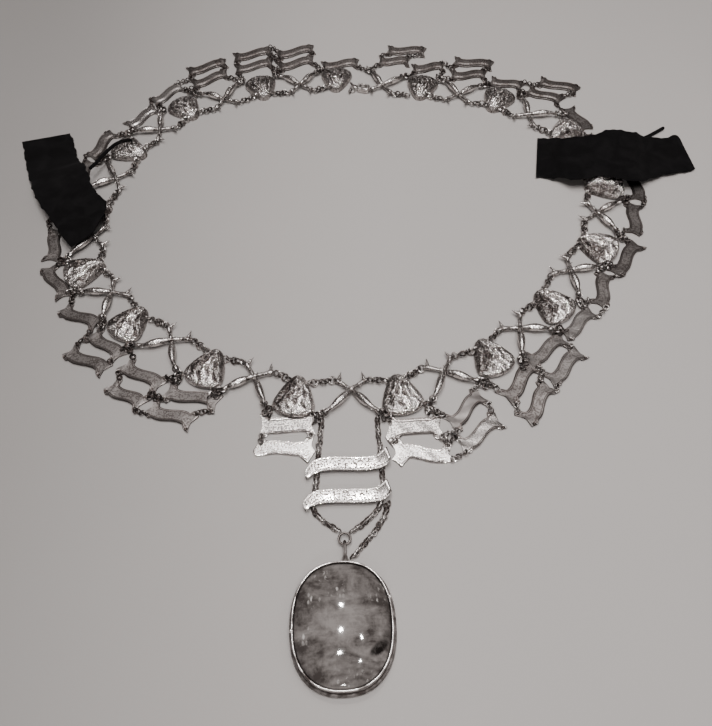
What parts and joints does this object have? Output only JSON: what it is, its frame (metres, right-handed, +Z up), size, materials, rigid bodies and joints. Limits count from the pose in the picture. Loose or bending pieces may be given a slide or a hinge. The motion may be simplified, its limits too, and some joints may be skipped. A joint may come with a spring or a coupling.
{
  "type": "chain of office",
  "caption": "Ceremonial silver neck chain of domed shells, thorny cross links and scroll banners, with an oval stone pendant and black velvet ribbons, lying flat.",
  "frame": {"origin": "middle of the footprint, on the surface that the chain lies on", "axes": "+Z up, along the way the head goes through; +Y from the pendant towards the back clasp; +X to the side of the right ribbon"},
  "size_m": [0.4726, 0.4788, 0.0123],
  "materials": {
    "silver": "cast and hammered silver, bright on its high points and darkened in its hollows",
    "matt_silver": "silver sheet with a stippled ground between two engraved border lines",
    "stone": "polished cabochon, cloudy grey",
    "velvet": "black velvet"
  },
  "bodies": {
    "root": {"back_clasp": "silver", "bail_ring": "silver", "banners_01": "matt_silver", "banners_02": "matt_silver", "banners_03": "matt_silver", "banners_04": "matt_silver", "banners_05": "matt_silver", "banners_06": "matt_silver", "banners_07": "matt_silver", "banners_08": "matt_silver", "banners_09": "matt_silver", "banners_10": "matt_silver", "banners_11": "matt_silver", "banners_12": "matt_silver", "banners_13": "matt_silver", "cross_link_01": "silver", "cross_link_02": "silver", "cross_link_03": "silver", "cross_link_04": "silver", "cross_link_05": "silver", "cross_link_06": "silver", "cross_link_07": "silver", "cross_link_08": "silver", "cross_link_09": "silver", "cross_link_10": "silver", "cross_link_11": "silver", "cross_link_12": "silver", "cross_link_13": "silver", "cross_link_14": "silver", "cross_link_15": "silver", "cross_link_16": "silver", "cross_link_17": "silver", "drop_chain_left": "silver", "drop_chain_right": "silver", "drop_chain_spare": "silver", "pendant_bezel": "silver", "pendant_stone": "stone", "ribbon_left": "velvet", "ribbon_right": "velvet", "ribbon_tie_left": "velvet", "ribbon_tie_right": "velvet", "scroll_lower": "matt_silver", "scroll_upper": "matt_silver", "shell_01": "silver", "shell_02": "silver", "shell_03": "silver", "shell_04": "silver", "shell_05": "silver", "shell_06": "silver", "shell_07": "silver", "shell_08": "silver", "shell_09": "silver", "shell_10": "silver", "shell_11": "silver", "shell_12": "silver", "shell_13": "silver", "shell_14": "silver", "shell_15": "silver", "shell_16": "silver", "shell_17": "silver"}
  },
  "joints": []
}
